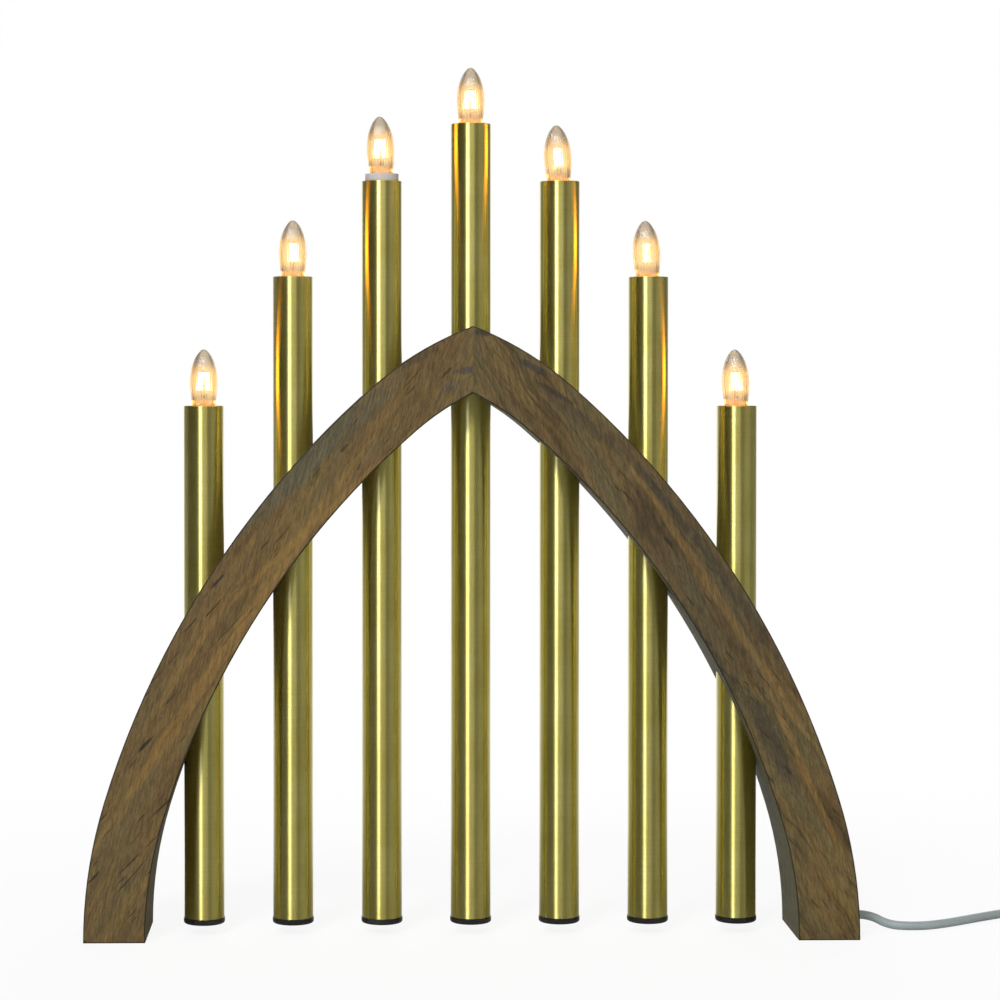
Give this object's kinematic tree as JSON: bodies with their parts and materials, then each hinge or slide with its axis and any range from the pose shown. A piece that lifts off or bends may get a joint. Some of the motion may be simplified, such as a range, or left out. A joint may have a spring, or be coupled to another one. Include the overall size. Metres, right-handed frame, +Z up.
{
  "type": "candle arch",
  "caption": "Free-standing pointed wooden arch crossed by upright brass tubes, each with a screw-in electric candle bulb at its top, with a mains cord and plug.",
  "frame": {"origin": "on the floor under the apex, midway between the front and back faces of the arch", "axes": "+Z up, +X towards the leg that the cord leaves, -Y towards the front"},
  "size_m": [0.6672, 0.0837, 0.4767],
  "materials": {
    "stained_wood": "grey-brown stained softwood, open grain",
    "dowel_beech": "plain beech",
    "brass_tube": "brushed, aged",
    "cap_black": "glossy black",
    "holder_white": "moulded white",
    "contact_brass": "plain stamped",
    "base_nickel": "nickel-plated",
    "bulb_glass_clear": "clear, finely ribbed",
    "filament_glow": "glowing warm white",
    "lead_insulation": "white insulation",
    "cord_grey": "pale grey",
    "pin_nickel": "nickel-plated"
  },
  "bodies": {
    "arch": {"front_left_board": "stained_wood", "front_right_board": "stained_wood", "back_left_board": "stained_wood", "back_right_board": "stained_wood", "apex_dowels": "dowel_beech", "end_caps": "cap_black", "screw_shells": "contact_brass", "contact_springs": "contact_brass", "series_leads": "lead_insulation", "return_lead": "lead_insulation", "cord_gland": "cord_grey", "cord_lead": "cord_grey", "cord_coil": "cord_grey", "cord_tail": "cord_grey", "plug_body": "cord_grey", "plug_pins": "pin_nickel", "tube_1": "brass_tube", "tube_2": "brass_tube", "tube_3": "brass_tube", "tube_4": "brass_tube", "tube_5": "brass_tube", "tube_6": "brass_tube", "tube_7": "brass_tube", "lamp_holder_1": "holder_white", "lamp_holder_2": "holder_white", "lamp_holder_3": "holder_white", "lamp_holder_4": "holder_white", "lamp_holder_5": "holder_white", "lamp_holder_6": "holder_white", "lamp_holder_7": "holder_white"},
    "contact_1": {"centre_contact_1": "contact_brass"},
    "bulb_1": {"bulb_base_1": "base_nickel", "bulb_glass_1": "bulb_glass_clear", "bulb_filament_1": "filament_glow"},
    "contact_2": {"centre_contact_2": "contact_brass"},
    "bulb_2": {"bulb_base_2": "base_nickel", "bulb_glass_2": "bulb_glass_clear", "bulb_filament_2": "filament_glow"},
    "contact_3": {"centre_contact_3": "contact_brass"},
    "bulb_3": {"bulb_base_3": "base_nickel", "bulb_glass_3": "bulb_glass_clear", "bulb_filament_3": "filament_glow"},
    "contact_4": {"centre_contact_4": "contact_brass"},
    "bulb_4": {"bulb_base_4": "base_nickel", "bulb_glass_4": "bulb_glass_clear", "bulb_filament_4": "filament_glow"},
    "contact_5": {"centre_contact_5": "contact_brass"},
    "bulb_5": {"bulb_base_5": "base_nickel", "bulb_glass_5": "bulb_glass_clear", "bulb_filament_5": "filament_glow"},
    "contact_6": {"centre_contact_6": "contact_brass"},
    "bulb_6": {"bulb_base_6": "base_nickel", "bulb_glass_6": "bulb_glass_clear", "bulb_filament_6": "filament_glow"},
    "contact_7": {"centre_contact_7": "contact_brass"},
    "bulb_7": {"bulb_base_7": "base_nickel", "bulb_glass_7": "bulb_glass_clear", "bulb_filament_7": "filament_glow"}
  },
  "joints": [
    {"name": "contact_1_rise", "type": "slide", "parent": "arch", "child": "contact_1", "axis": [0, 0, 1], "range_m": [0, 0.0028]},
    {"name": "bulb_1_turn", "type": "hinge", "parent": "contact_1", "child": "bulb_1", "pos_m": [-0.147, 0, 0], "axis": [0, 0, 1], "range_deg": [0, 540]},
    {"name": "contact_2_rise", "type": "slide", "parent": "arch", "child": "contact_2", "axis": [0, 0, 1], "range_m": [0, 0.0028]},
    {"name": "bulb_2_turn", "type": "hinge", "parent": "contact_2", "child": "bulb_2", "pos_m": [-0.098, 0, 0], "axis": [0, 0, 1], "range_deg": [0, 540]},
    {"name": "contact_3_rise", "type": "slide", "parent": "arch", "child": "contact_3", "axis": [0, 0, 1], "range_m": [0, 0.0028]},
    {"name": "bulb_3_turn", "type": "hinge", "parent": "contact_3", "child": "bulb_3", "pos_m": [-0.049, 0, 0], "axis": [0, 0, 1], "range_deg": [0, 540]},
    {"name": "contact_4_rise", "type": "slide", "parent": "arch", "child": "contact_4", "axis": [0, 0, 1], "range_m": [0, 0.0028]},
    {"name": "bulb_4_turn", "type": "hinge", "parent": "contact_4", "child": "bulb_4", "pos_m": [0, 0, 0], "axis": [0, 0, 1], "range_deg": [0, 540]},
    {"name": "contact_5_rise", "type": "slide", "parent": "arch", "child": "contact_5", "axis": [0, 0, 1], "range_m": [0, 0.0028]},
    {"name": "bulb_5_turn", "type": "hinge", "parent": "contact_5", "child": "bulb_5", "pos_m": [0.049, 0, 0], "axis": [0, 0, 1], "range_deg": [0, 540]},
    {"name": "contact_6_rise", "type": "slide", "parent": "arch", "child": "contact_6", "axis": [0, 0, 1], "range_m": [0, 0.0028]},
    {"name": "bulb_6_turn", "type": "hinge", "parent": "contact_6", "child": "bulb_6", "pos_m": [0.098, 0, 0], "axis": [0, 0, 1], "range_deg": [0, 540]},
    {"name": "contact_7_rise", "type": "slide", "parent": "arch", "child": "contact_7", "axis": [0, 0, 1], "range_m": [0, 0.0028]},
    {"name": "bulb_7_turn", "type": "hinge", "parent": "contact_7", "child": "bulb_7", "pos_m": [0.147, 0, 0], "axis": [0, 0, 1], "range_deg": [0, 540]}
  ],
  "couplings": [
    {"joint": "contact_1_rise", "follows": "bulb_1_turn", "m_per_rad": 0.00028871},
    {"joint": "contact_2_rise", "follows": "bulb_2_turn", "m_per_rad": 0.00028871},
    {"joint": "contact_3_rise", "follows": "bulb_3_turn", "m_per_rad": 0.00028871},
    {"joint": "contact_4_rise", "follows": "bulb_4_turn", "m_per_rad": 0.00028871},
    {"joint": "contact_5_rise", "follows": "bulb_5_turn", "m_per_rad": 0.00028871},
    {"joint": "contact_6_rise", "follows": "bulb_6_turn", "m_per_rad": 0.00028871},
    {"joint": "contact_7_rise", "follows": "bulb_7_turn", "m_per_rad": 0.00028871}
  ]
}
